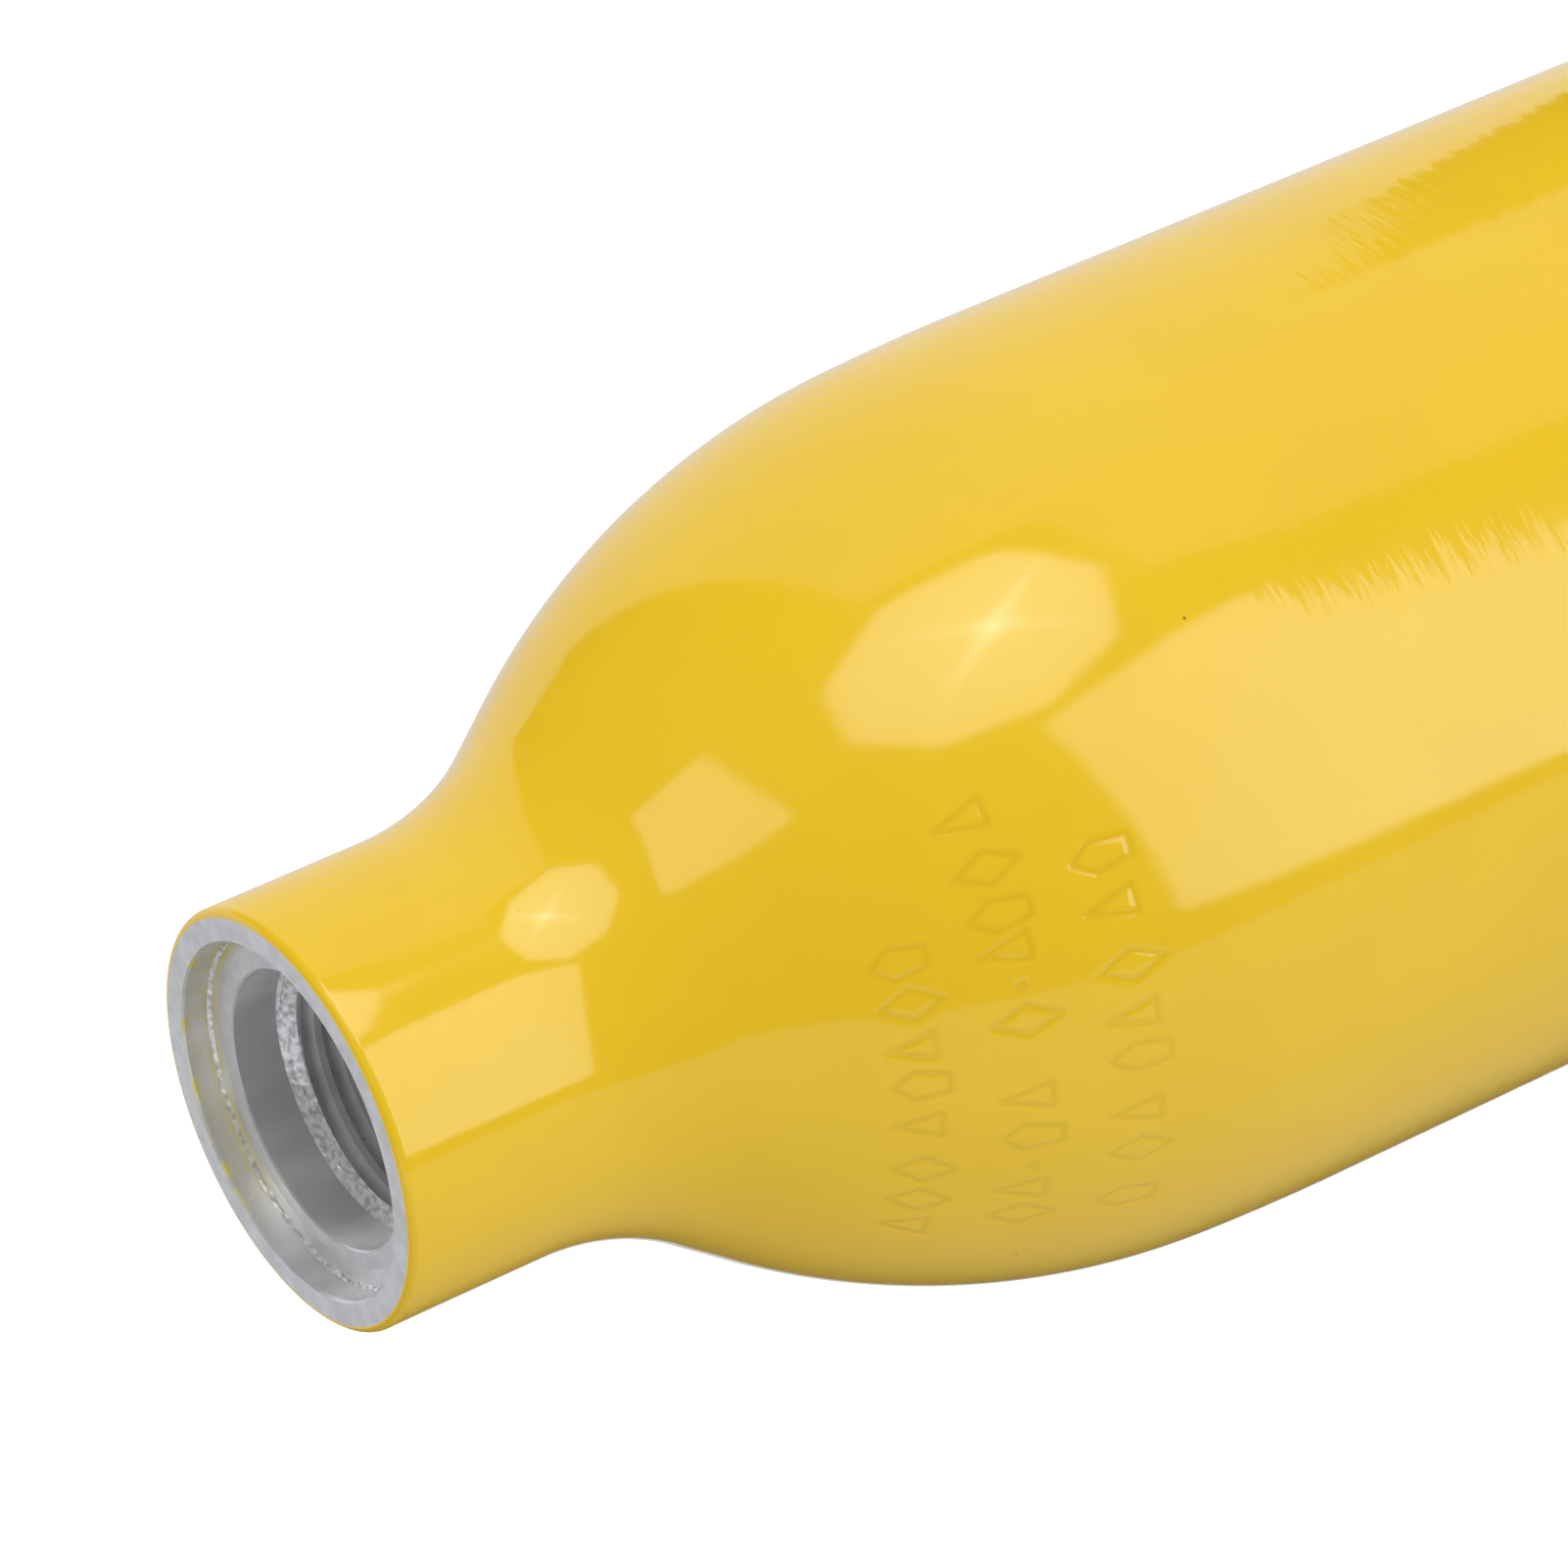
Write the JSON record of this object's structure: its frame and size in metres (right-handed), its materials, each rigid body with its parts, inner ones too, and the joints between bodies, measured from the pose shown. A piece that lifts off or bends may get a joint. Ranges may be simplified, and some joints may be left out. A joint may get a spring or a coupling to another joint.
{
  "type": "scuba tank",
  "caption": "Small painted aluminium diving cylinder with a necked-down shoulder, open threaded neck and dished base.",
  "frame": {"origin": "on the bottle's axis, in the plane of the foot ring that it stands on", "axes": "+Z along the bottle's axis towards the open neck; X and Y are any two directions across it"},
  "size_m": [0.06, 0.06, 0.2981],
  "materials": {
    "bare_aluminium": "satin",
    "yellow_enamel": "gloss"
  },
  "bodies": {
    "root": {"cylinder_shell": "bare_aluminium", "paint_coat": "yellow_enamel"}
  },
  "joints": []
}
